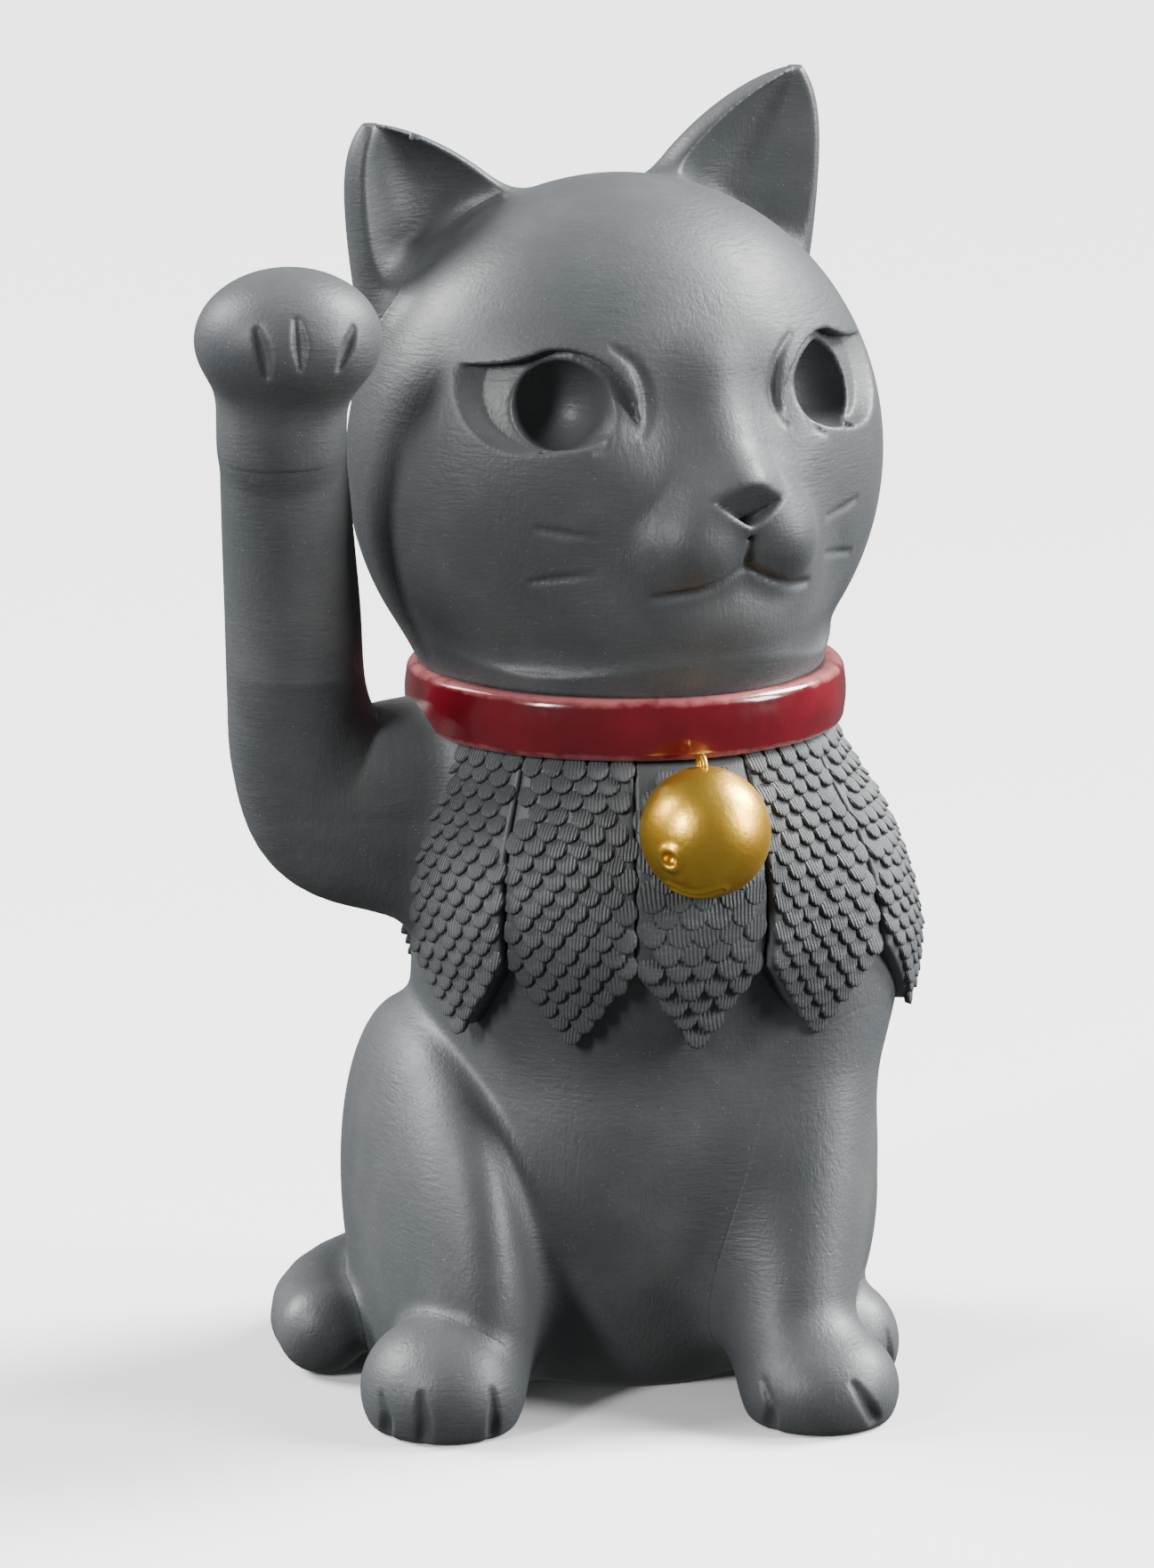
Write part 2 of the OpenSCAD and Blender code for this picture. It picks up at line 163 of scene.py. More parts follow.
def torso_form(p):
    chest = egg(p, (0, -2, 92), (39.5, 42, 40))
    belly = egg(p, (0, 5, 44), (40, 43, 58))
    shoulder = egg(p, (24.5, -6, 80), (22, 28, 33))
    # The right thigh leans back as it rises, and its crease is sharp above and soft below
    lean = np.stack([p[..., 0], p[..., 1] - 0.28 * (p[..., 2] - 29), p[..., 2]], -1)
    right = egg(lean, (-36, -2, 27), (14.8, 36, 40))
    crease = np.interp(p[..., 2], (20, 60), (10, 2.5)).astype(np.float32)
    left = egg(p, (23.5, 2, 32), (22, 37, 39))
    torso = blend(blend(chest, belly, 12), shoulder, 10)
    seat = blend(blend(torso, right, crease), left, 4.5)
    whole = blend(seat, np.maximum(neck(p), 98 - p[..., 2]), 6)
    return np.maximum(whole, np.minimum(neck(p), p[..., 2] - SHELF_Z + 0.3))


def foreleg_form(p):
    leg = rod(p, (28, -18, 76), (17.6, -42, 14), 12, 11)
    paw = egg(p, (20.8, -48.5, 5.5), (14, 14.5, 11.5))
    return blend(leg, paw, 5)


def right_foot_form(p):
    return egg(p, (-44, -33.5, 6.5), (14.4, 15.5, 13))


def left_foot_form(p):
    return egg(p, (32, -23.5, 6), (11.6, 13, 11.5))


def track(p, rows):
    """Distance to a row of rods; each row gives x, y, z and radius."""
    return np.minimum.reduce([rod(p, a[:3], b[:3], a[3], b[3]) for a, b in zip(rows[:-1], rows[1:])])


def nearby(p, form, low, high):
    """The form inside a box, and the distance to the box outside it."""
    low, high = np.float32(low), np.float32(high)
    away = np.sqrt((np.maximum(np.maximum(low - p, p - high), 0) ** 2).sum(-1))
    found = away + 12
    inside = away <= 0
    found[inside] = form(p[inside])
    return found


def bend(rows, steps=4):
    """Rows of points drawn through as one smooth curve."""
    rows = np.array(rows, float)
    ends = np.vstack([2 * rows[0] - rows[1], rows, 2 * rows[-1] - rows[-2]])
    drawn = []
    for a, b, c, d in zip(ends[:-3], ends[1:-2], ends[2:-1], ends[3:]):
        for t in np.arange(steps) / steps:
            drawn.append(0.5 * (2 * b + (c - a) * t + (2 * a - 5 * b + 4 * c - d) * t ** 2
                                + (3 * b - a - 3 * c + d) * t ** 3))
    return drawn + [rows[-1]]


def score(form, rows, steps=3):
    """Rows of x, z and radius laid on the front of a form as one smooth line."""
    y = np.linspace(-70, 0, 281)
    line = np.stack(np.broadcast_arrays([[x] for x, _, _ in rows], y, [[z] for _, z, _ in rows]), -1)
    met = np.argmax(form(line.astype(np.float32)) < 0, 1)
    return bend([(x, y[k] - 0.25 * r, z, r) for (x, z, r), k in zip(rows, met)], steps)


TAIL_R = 8.2
tail_turns = np.radians(np.linspace(0, 92, 11))
tail_rows = [(-56 * math.cos(a), 3 + 45 * math.sin(a), TAIL_R, TAIL_R) for a in tail_turns]


def tail_form(p):
    return nearby(p, lambda near: track(near, tail_rows), (-80, -20, -20), (20, 75, 35))


# From the shoulder through the elbow to the wrist: x, y, z and radius
shoulder = [(-30, 2, 102.4, 21.5), (-41, 2, 103.3, 19.4), (-52.3, 1.8, 105, 16.5)]
elbow = [(-58.2, 0.6, 114.5, 14), (-61, -1.6, 126, 12.3)]
forearm = [(-62.6, -5, 142, 11.9), (-64.4, -8.6, 158, 11.4), (-66.3, -12.6, 175, 10.8),
           (-66.6, -14, 184, 10.8)]
arm_rows = bend(shoulder + elbow + forearm, 7)


def arm_form(p):
    # The upper arm is flatter from front to back than it is high
    squeeze = 1 + 0.5 * np.clip((130 - p[..., 2]) / 26, 0, 1)
    q = np.stack([p[..., 0], 2 + (p[..., 1] - 2) * squeeze, p[..., 2]], -1)
    return nearby(q, lambda near: track(near, arm_rows) * 0.8, (-95, -45, 60), (5, 40, 205))


def paw_form(p):
    ball = egg(p, (-66, -16.6, 191.2), (16.3, 14.8, 12.4))
    wrist = rod(p, (-66.4, -12.8, 173), (-66.4, -14.8, 188), 10.9, 11.4)
    return blend(ball, wrist, 4)


# The limbs in the order they are luted on, with the width of each smoothed seam
LIMBS = {
    "left_foreleg": (foreleg_form, 14),
    "left_hind_foot": (left_foot_form, 3),
    "right_hind_foot": (right_foot_form, 3),
    "tail": (tail_form, 4),
    "raised_arm": (arm_form, 6),
    "raised_paw": (paw_form, 1.5),
}


# How far a piece runs in under its neighbours, and the rounding of that hidden edge
LAP = 1.2
LAP_ROUND = 1.5


def piece_form(name):
    """One limb, or the body, cut out of the smoothed figure with a short lap over its neighbours."""
    def form(p):
        parts = {"body": torso_form(p)}
        for limb, (limb_form, _) in LIMBS.items():
            parts[limb] = limb_form(p)
        whole = parts["body"]
        for limb, (_, seam) in LIMBS.items():
            whole = blend(whole, parts[limb], seam)
        mine = parts.pop(name)
        others = np.minimum.reduce(list(parts.values()))
        return within(whole, mine - others - LAP, LAP_ROUND)
    return form


def on_floor(form):
    """The form cut flat on the floor, with a small rounded edge."""
    def cut(p):
        return within(form(p), -p[..., 2], 1.2)
    return cut


def cast(name, form, low, high, cell):
    """Closed smooth mesh of a form inside a box, as a Blender object whose place is in its mesh."""
    block = 8
    low, high = np.float32(low), np.float32(high)
    counts = np.ceil((high - low) / (cell * block)).astype(int)
    size = cell * block
    corners = np.stack(np.meshgrid(*[np.arange(n) for n in counts], indexing="ij"), -1).reshape(-1, 3)
    middles = low + (corners + 0.5) * size
    rough = np.concatenate([form(part) for part in np.array_split(middles, 4)])
    field = np.sign(rough).reshape(counts).astype(np.float32) * size
    field = field.repeat(block, 0).repeat(block, 1).repeat(block, 2)
    busy = corners[np.abs(rough) < size * 1.35]
    step = np.stack(np.meshgrid(*[np.arange(block)] * 3, indexing="ij"), -1).reshape(-1, 3)
    for group in np.array_split(busy, max(1, len(busy) // 300)):
        cells = (group[:, None, :] * block + step[None]).reshape(-1, 3)
        field[cells[:, 0], cells[:, 1], cells[:, 2]] = form(low + cells.astype(np.float32) * np.float32(cell))
    grid = openvdb.FloatGrid(float(size))
    grid.copyFromArray(np.clip(field, -size, size))
    points, quads = grid.convertToQuads(isovalue=0.0)
    points = low + points.astype(np.float32) * np.float32(cell)
    for _ in range(3):
        here = form(points)
        e = np.float32(0.15)
        axes = np.eye(3, dtype=np.float32) * e
        slope = np.stack([form(points + axis) - form(points - axis) for axis in axes], -1)
        slope /= 2 * e
        length = np.maximum((slope * slope).sum(-1), 0.2)
        shift = -slope * (here / length)[:, None]
        points = points + np.clip(shift, -cell, cell) * 0.8
    mesh = bpy.data.meshes.new(name)
    mesh.vertices.add(len(points))
    mesh.vertices.foreach_set("co", ((points * MM) + AXIS).astype(np.float32).ravel())
    mesh.loops.add(len(quads) * 4)
    mesh.loops.foreach_set("vertex_index", quads.astype(np.int32)[:, ::-1].ravel())
    mesh.polygons.add(len(quads))
    mesh.polygons.foreach_set("loop_start", np.arange(len(quads), dtype=np.int32) * 4)
    mesh.update(calc_edges=True)
    mesh.validate()
    mesh.shade_smooth()
    made = bpy.data.objects.new(name, mesh)
    bpy.context.collection.objects.link(made)
    return made


def shade(tree, kind, **inputs):
    """Adds a shader node and sets its inputs by name, with values or with the outputs of other nodes."""
    node = tree.nodes.new(kind)
    for key, value in inputs.items():
        name = key.replace("_", " ")
        if isinstance(value, bpy.types.NodeSocket):
            tree.links.new(value, node.inputs[name])
        else:
            node.inputs[name].default_value = value
    return node


def stretched(tree, scale):
    """Object coordinates stretched along the axes."""
    place = tree.nodes.new("ShaderNodeTexCoord")
    return shade(tree, "ShaderNodeMapping", Vector=place.outputs["Object"], Scale=scale).outputs["Vector"]


def ramp(tree, factor, stops):
    node = shade(tree, "ShaderNodeValToRGB", Fac=factor)
    for _ in range(len(stops) - 2):
        node.color_ramp.elements.new(0.5)
    for element, (at, colour) in zip(node.color_ramp.elements, stops):
        element.position = at
        element.color = (*colour, 1)
    return node.outputs["Color"]


def grey(value):
    return (value, value, value)


def bisque_material(name, ribbed=False):
    """Matte dark grey bisque: cloudy blue-grey stain, pale grit, brush marks and a fine grain."""
    made = bpy.data.materials.new(name)
    made.use_nodes = True
    tree = made.node_tree
    shader = tree.nodes["Principled BSDF"]
    even = stretched(tree, (1, 1, 1))
    cloud = shade(tree, "ShaderNodeTexNoise", Vector=even, Scale=38.0, Detail=5.0, Roughness=0.6)
    stain = ramp(tree, cloud.outputs["Fac"], [(0.3, (0.046, 0.052, 0.058)), (0.5, (0.066, 0.072, 0.076)),
                                              (0.72, (0.095, 0.099, 0.100))])
    grit = shade(tree, "ShaderNodeTexVoronoi", Vector=even, Scale=1500.0)
    speck = ramp(tree, grit.outputs["Distance"], [(0.08, grey(1)), (0.2, grey(0))])
    sparse = shade(tree, "ShaderNodeTexNoise", Vector=even, Scale=420.0, Detail=2.0)
    few = ramp(tree, sparse.outputs["Fac"], [(0.58, grey(0)), (0.66, grey(1))])
    some = shade(tree, "ShaderNodeMath", Value=speck)
    some.operation = "MULTIPLY"
    tree.links.new(few, some.inputs[1])
    colour = shade(tree, "ShaderNodeMix")
    colour.data_type = "RGBA"
    tree.links.new(some.outputs[0], colour.inputs["Factor"])
    tree.links.new(stain, colour.inputs[6])
    colour.inputs[7].default_value = (0.24, 0.24, 0.23, 1)
    tree.links.new(colour.outputs[2], shader.inputs["Base Color"])
    sheen = ramp(tree, cloud.outputs["Fac"], [(0.3, grey(0.56)), (0.7, grey(0.42))])
    tree.links.new(sheen, shader.inputs["Roughness"])
    shader.inputs["Specular IOR Level"].default_value = 0.45
    # Brush marks run two ways, in patches; the grain lies over everything
    level, upright = stretched(tree, (260, 240, 1500)), stretched(tree, (1300, 1100, 260))
    marks = shade(tree, "ShaderNodeTexNoise", Vector=level, Scale=1.0, Detail=3.0, Distortion=0.6)
    across = shade(tree, "ShaderNodeTexNoise", Vector=upright, Scale=1.0, Detail=3.0, Distortion=0.8)
    patch = shade(tree, "ShaderNodeTexNoise", Vector=even, Scale=45.0, Detail=2.0)
    where = ramp(tree, patch.outputs["Fac"], [(0.42, grey(0)), (0.62, grey(1))])
    strokes = shade(tree, "ShaderNodeMix")
    tree.links.new(where, strokes.inputs["Factor"])
    tree.links.new(marks.outputs["Fac"], strokes.inputs[2])
    tree.links.new(across.outputs["Fac"], strokes.inputs[3])
    brushed = shade(tree, "ShaderNodeBump", Strength=0.35, Distance=0.00035, Height=strokes.outputs[0])
    grain = shade(tree, "ShaderNodeTexNoise", Vector=even, Scale=1400.0, Detail=2.0)
    fine = shade(tree, "ShaderNodeBump", Strength=0.3, Distance=0.0002, Height=grain.outputs["Fac"],
                 Normal=brushed.outputs["Normal"])
    top = fine
    if ribbed:
        # Fine comb marks down every scale
        lane = tree.nodes.new("ShaderNodeAttribute")
        lane.attribute_name = "comb"
        comb = shade(tree, "ShaderNodeTexWave", Vector=lane.outputs["Vector"], Scale=0.5, Distortion=1.2,
                     Detail=2.0)
        comb.bands_direction = "X"
        top = shade(tree, "ShaderNodeBump", Strength=0.55, Distance=0.0003, Height=comb.outputs["Fac"],
                    Normal=fine.outputs["Normal"])
    tree.links.new(top.outputs["Normal"], shader.inputs["Normal"])
    return made


QUICK = 1.0
bisque = bisque_material("dark_bisque")


def fit(made, material, slot, *nodes):
    """Gives a finished piece its material and its place in the figure."""
    made.data.materials.clear()
    made.data.materials.append(material)
    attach(made, "root")
    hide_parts(*nodes)


def body_with_pocket(p):
    whole = on_floor(piece_form("body"))(p)
    # The underside is open behind the base disc
    pocket = np.maximum(torso_form(p) + 4.15, p[..., 2] - 26)
    return np.maximum(carve(whole, pocket, 0.5), p[..., 2] - NECK_Z)


body = cast("body", body_with_pocket, (-58, -50, -3), (52, 52, 125), 0.72 * QUICK)
fit(body, bisque, "bisque", "body_shell")

# The disc that closes the underside keeps its plain shape
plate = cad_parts["base_plate"]
plate.data.materials.clear()
plate.data.materials.append(bisque)

# ---- Legs, feet and tail ------------------------------------------------------------------------
# Solid press-moulded pieces of the same clay, luted on with slip. The toes are parted by cut grooves.


def toes(form, grooves, width=1.1):
    """The form with grooves laid on its front; each gives x and z at its foot and at its top."""
    lines = []
    for (low_x, low_z), (high_x, high_z), low_width in grooves:
        middle = ((low_x + high_x) / 2, (low_z + high_z) / 2, width)
        lines.append(score(form, [(low_x, low_z, low_width), middle, (high_x, high_z, 0.4)]))

    def cut(p):
        return carve(form(p), np.minimum.reduce([track(p, rows) for rows in lines]), 1.0)
    return cut


foreleg = toes(on_floor(piece_form("left_foreleg")), [
    ((9.5, 1), (8.5, 9), 1.1), ((27, 2.5), (22.5, 9.5), 1.1)])
made = cast("left_foreleg", foreleg, (2, -66, -2), (46, -16, 84), 0.5 * QUICK)
fit(made, bisque, "bisque", "left_foreleg")

right_foot = toes(on_floor(piece_form("right_hind_foot")), [
    ((-56, 1), (-57, 8), 1.1), ((-51, 1), (-51.5, 9.5), 1.1), ((-38.5, 1), (-39, 9.5), 1.1)])
made = cast("right_hind_foot", right_foot, (-62, -53, -2), (-24, -14, 24), 0.5 * QUICK)
fit(made, bisque, "bisque", "right_hind_foot")

left_foot = toes(on_floor(piece_form("left_hind_foot")), [((39.5, 1), (39, 9), 1.0)], 1.0)
made = cast("left_hind_foot", left_foot, (18, -44, -2), (50, -10, 22), 0.5 * QUICK)
fit(made, bisque, "bisque", "left_hind_foot")

made = cast("tail", on_floor(piece_form("tail")), (-68, -10, -2), (16, 60, 20), 0.55 * QUICK)
fit(made, bisque, "bisque", "tail")

# ---- Raised arm and paw -------------------------------------------------------------------------
# The arm is modelled with its shoulder and bends up at the elbow; the paw is curled over its end and
# its toes are marked with three grooves.

made = cast("raised_arm", piece_form("raised_arm"), (-82, -28, 80), (-18, 26, 184), 0.55 * QUICK)
fit(made, bisque, "bisque", "raised_arm")

paw = toes(piece_form("raised_paw"), [
    ((-73, 187), (-74.5, 195), 0.4), ((-67.5, 188.5), (-68, 196.5), 0.4),
    ((-60.5, 188), (-57.5, 194.5), 0.4)], 1.2)
made = cast("raised_paw", paw, (-84, -33, 170), (-44, 4, 206), 0.45 * QUICK)
fit(made, bisque, "bisque", "raised_paw")

# ---- Head ---------------------------------------------------------------------------------------
# Hollow cast head of the same bisque, turned to the figure's left, with eyes, nose, mouth and whisker
# marks cut and pressed into the clay. The ears are pulled up from it and hollowed in front.

TURN_COS, TURN_SIN = math.cos(math.radians(10)), math.sin(math.radians(10))


def to_face(p):
    """Points in the head's own frame, which looks along -y."""
    x = p[..., 0] * TURN_COS + p[..., 1] * TURN_SIN
    y = p[..., 1] * TURN_COS - p[..., 0] * TURN_SIN
    return np.stack([x, y, p[..., 2]], -1)


def head_mass(q):
    """The head before anything is cut into it: skull, brow, bridge of the nose, muzzle and chin."""
    n = q - np.float32((1.5, 0, 0))
    m = np.stack([np.sqrt(n[..., 0] ** 2 + 0.6), n[..., 1], n[..., 2]], -1)
    skull = blend(egg(q, (0, 4, 164.5), (49.2, 41.5, 50)), egg(q, (0, -21, 141), (23, 19, 18)), 10)
    skull = carve(skull, egg(q, (0, -45, 180), (24, 12, 9)), 10)
    skull = blend(skull, rod(n, (-0.5, -27, 181), (0, -36, 166), 4.6, 5.2), 9)
    skull = blend(skull, egg(n, (0, -28, 154.5), (18, 11.5, 12)), 8)
    skull = blend(skull, rod(m, (0, -40.2, 163.2), (5.6, -38.0, 162.0), 5.8, 4.2), 6)
    skull = blend(skull, egg(q, (0, -31.5, 142.8), (10, 9, 6)), 5)
    skull = blend(skull, egg(m, (7.6, -36.6, 155.6), (8.0, 8.0, 7.6)), 4.5)
    # The leather of the nose: a flat triangle, point down, that leans back under its upper edge
    leaning = (n[..., 1] + 45.2 - 0.68 * (166.8 - n[..., 2])) * 0.83
    beside = 0.587 * (m[..., 0] - 1.2) - 0.81 * (n[..., 2] - 159.5)
    return carve(skull, np.maximum(leaning, beside), 0.7)


# The eye's own frame on the skull: u runs outward, v up and w out of the head
EYE_AT = np.float32((28, -26, 180.5))
EYE_U = np.float32((0.833, 0.553, 0))
EYE_V = np.float32((-0.162, 0.244, 0.956))
EYE_W = np.float32((0.529, -0.797, 0.293))


def disc(u, v, middle, radius):
    return np.hypot(u - middle[0], v - middle[1]) - radius


def eye_form(m, skull):
    """The hollow of an eye: a sloping rim, a flat white and the deep round pupil."""
    e = m - EYE_AT
    u, v, w = e @ EYE_U, e @ EYE_V, e @ EYE_W
    depth = np.clip(-skull, -1, 4)
    arch = 6.2 + 2.5 * np.exp(-((u + 0.5) / 5.5) ** 2)
    lid = np.where(u < -0.5, disc(u, v, (-1.5, -4.5), 13.2), v - arch) - 0.3 * depth
    outer_rim = np.hypot(u - 4 + 0.5 * depth, v - 4.2 + 0.67 * depth) - 13.3 + 1.23 * depth
    inner_rim = -(v + 8.9 + 0.1 * u)
    rim = np.where(u > 2, outer_rim, np.maximum(inner_rim, u - 12))
    # The white lies deep at the outer corner and rises to a shallow step under the inner lid
    outward = np.clip((u + 3) / 6, 0, 1)
    floor_depth = 2.9 * outward + (2.3 * np.clip((v + 8) / 9, 0, 1) - 0.6) * (1 - outward)
    white = np.maximum(np.maximum(lid, rim), -floor_depth - skull)
    place = np.stack([u, v, w], -1)
    pupil = egg(place, (-0.7, -0.4, -0.9), (7.9, 7.9, 11.0))
    corner = egg(place, (-5.5, -1.2, 0.2), (7.6, 6.4, 4.0))
    bowl = np.maximum(blend(pupil, corner, 3), lid)
    # The cut stays on the front of the head
    return np.maximum(blend(white, bowl, 0.6), m[..., 1] + 4)


lid_crease = score(head_mass, [(17.5, 189.5, 0.35), (14.6, 187, 0.7), (12.8, 183.6, 1.0), (12.2, 180, 1.1),
                               (12.7, 177, 0.9), (14, 174.4, 0.4)])
eye_fold = score(head_mass, [(22.4, 172.0, 0.3), (20.2, 173.4, 0.7), (19.2, 176.2, 0.6), (18.8, 178, 0.2)])
philtrum = score(head_mass, [(1.5, 159.5, 0.35), (1.5, 156.5, 0.5), (1.5, 153, 0.5), (1.5, 151.6, 0.5)])
mouth = [score(head_mass, [(1.5, 152, 0.5), (1.5 + 4 * k, 149.8, 0.6), (1.5 + 8.5 * k, 147.9, 0.7),
                           (1.5 + 13 * k, 147, 0.7), (1.5 + 15.5 * k, 146.8, 0.3)]) for k in (-1, 1)]
whiskers = [score(head_mass, [(22.5, 157.3, 0.2), (27, 157.9, 0.42), (31.5, 158.8, 0.25)]),
            score(head_mass, [(22.5, 150.7, 0.2), (27, 149.9, 0.42), (31.5, 149, 0.25)])]


def head_form(p):
    q = to_face(p)
    m = np.stack([np.abs(q[..., 0]), q[..., 1], q[..., 2]], -1)
    mass = head_mass(q)
    whole = carve(mass, eye_form(m, mass), 0.7)
    front = q[..., 1] < -5
    lines = np.full(front.shape, 9.0, np.float32)
    both, own = m[front], q[front]
    lines[front] = np.minimum.reduce([track(both, rows) for rows in (lid_crease, eye_fold, *whiskers)]
                                     + [track(own, rows) for rows in (philtrum, *mouth)])
    whole = carve(whole, lines, 0.9)
    whole = blend(whole, np.maximum(neck(p), p[..., 2] - 130), 8)
    return np.maximum(whole, np.minimum(neck(p), BRIM_Z - 0.3 - p[..., 2]))


EARS = {"left_ear": (1, 230.0), "right_ear": (-1, 224.5)}


def ear_form(p, side, tip):
    """A blunt cone of flat section that rises from the side of the head, hollowed in front."""
    q = to_face(p)
    x, y, z = side * q[..., 0], q[..., 1] - 16, q[..., 2]
    t = np.clip((z - 186) / (tip - 186), -0.4, 0.995)
    up = np.maximum(t, 0)
    narrow = 1 - up ** 2.6
    half = 20 * narrow ** 0.66 + 0.2
    deep = 9 * narrow ** 0.5 + 0.2
    edge = 47.5 - 4 * (1 - t) ** 2 - 4 * up ** 8
    s, r = (x - edge + half) / half, y / deep
    n = np.hypot(s, r)
    solid = np.maximum(n * (n - 1) / np.maximum(np.hypot(s / half, r / deep), 1e-4), z - tip)
    solid = np.maximum(solid, 180 - z)
    rise = np.clip((t - 0.06) / 0.42, 0, 1)
    dish = rise * rise * (3 - 2 * rise) * (1 - up ** 5)
    inner = (x - edge + half) / np.maximum(half - 2.0, 0.5)
    front = -deep * np.sqrt(np.clip(1 - s * s, 0, 1))
    hollow = 0.75 * (y - front - 10.5 * dish * (1 - inner * inner))
    return carve(solid, hollow, 1)


def head_and_ears(p):
    whole = head_form(p)
    for side, tip in EARS.values():
        whole = blend(whole, ear_form(p, side, tip), 6)
    return whole


def head_piece(p):
    ears = np.minimum(*[ear_form(p, side, tip) for side, tip in EARS.values()])
    whole = within(head_and_ears(p), head_form(p) - ears - LAP, LAP_ROUND)
    return np.maximum(whole, NECK_Z - p[..., 2])


head = cast("head", head_piece, (-56, -56, 121), (56, 50, 217), 0.6 * QUICK)
fit(head, bisque, "bisque", "head_shell")


def ear_piece(side, tip):
    def form(p):
        mine = ear_form(p, side, tip)
        return within(head_and_ears(p), mine - head_form(p) - LAP, LAP_ROUND)
    return form


for name, (side, tip) in EARS.items():
    low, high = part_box(name)
    box_low = (np.array(low) - AXIS) / MM - 4
    box_high = (np.array(high) - AXIS) / MM + 4
    made = cast(name, ear_piece(side, tip), box_low, box_high, 0.5 * QUICK)
    fit(made, bisque, "bisque", name)

# ---- Bib ----------------------------------------------------------------------------------------
# Ten pointed petals of thin clay laid round the chest, from the front of the raised arm to its back.
# Each is covered with rows of small overlapping scales, pressed one by one and combed.

PETALS = 10
PETAL_FROM = -77.5
PETAL_SPAN = 31.2
TIP_Z = 68.0
NOTCH_Z = 81.0
PETAL_TOP_Z = SHELF_Z - 0.1


def on_torso(angle, z):
    """Radius of the torso in a direction, counted from the front in degrees."""
    a = np.radians(angle)
    ray = np.stack([np.sin(a), -np.cos(a)], -1)
    near, far = np.zeros(np.shape(a)), np.full(np.shape(a), 75.0)
    for _ in range(16):
        middle = (near + far) / 2
        p = np.concatenate([ray * middle[..., None], z[..., None]], -1).astype(np.float32)
        inside = torso_form(p) < 0
        near, far = np.where(inside, middle, near), np.where(inside, far, middle)
    return near


def petal_end(u):
    """Height of a petal's lower edge; u runs across it from 0 to 1."""
    return TIP_Z + (NOTCH_Z - TIP_Z) * np.abs(2 * u - 1) ** 1.25


def petal_lift(angle, z, edge):
    """Thickness of the bib at its lower edge is edge, and it thins towards the collar."""
    t = np.clip((PETAL_TOP_Z - z) / (PETAL_TOP_Z - NOTCH_Z), 0, 1)
    return 1.4 + (edge - 1.4) * t ** 1.5


# Thickness of each petal's lower edge: the two in front lie almost flush with the belly
petal_edges = [4.4, 2.0, 1.9, 3.6] + [4.6] * 6


def petal_plate(index):
    """Closed plate of one petal with rounded edges, and the rule for its outer surface."""
    start, edge = PETAL_FROM + index * PETAL_SPAN, petal_edges[index]
    gap = 0.15

    def outside(u, z, sink=0.0):
        angle = start + gap + u * (PETAL_SPAN - 2 * gap)
        radius = on_torso(angle, z) + petal_lift(angle, z, edge) - sink
        a = np.radians(angle)
        return np.stack([np.sin(a) * radius, -np.cos(a) * radius, z], -1)

    columns, rows = 40, 64
    u = (1 - np.cos(np.linspace(0, math.pi, columns))) / 2
    v = np.linspace(0, 1, rows) ** 1.35
    u_grid, v_grid = np.meshgrid(u, v)
    end = petal_end(u_grid)
    z = end + v_grid * (PETAL_TOP_Z - end)
    # Distance to the nearest edge in millimetres rounds the rim over
    to_side = np.minimum(u_grid, 1 - u_grid) * 22
    to_end = (z - end) * 0.85
    rounding = 0.7
    side_drop = rounding * (1 - np.sqrt(1 - np.clip(1 - to_side / rounding, 0, 1) ** 2))
    end_drop = rounding * (1 - np.sqrt(1 - np.clip(1 - to_end / rounding, 0, 1) ** 2))
    outer = outside(u_grid, z, np.maximum(side_drop, end_drop))
    inner = outside(u_grid, z, petal_lift(0, z, edge) + 1.0)
    points = np.concatenate([outer.reshape(-1, 3), inner.reshape(-1, 3)])
    count = columns * rows
    faces = []
    for j in range(rows - 1):
        for i in range(columns - 1):
            a = j * columns + i
            b, c, d = a + 1, a + columns + 1, a + columns
            faces += [(a, b, c, d), (a + count, d + count, c + count, b + count)]
    rim = list(range(columns)) + [j * columns + columns - 1 for j in range(1, rows)]
    rim += [(rows - 1) * columns + i for i in range(columns - 2, -1, -1)]
    rim += [j * columns for j in range(rows - 2, 0, -1)]
    for a, b in zip(rim, rim[1:] + rim[:1]):
        faces.append((b, a, a + count, b + count))
    return points, faces, outside


def solid(name, points, faces):
    mesh = bpy.data.meshes.new(name)
    mesh.from_pydata((points * MM + AXIS).tolist(), [], faces)
    mesh.validate()
    mesh.shade_smooth()
    made = bpy.data.objects.new(name, mesh)
    bpy.context.collection.objects.link(made)
    return made


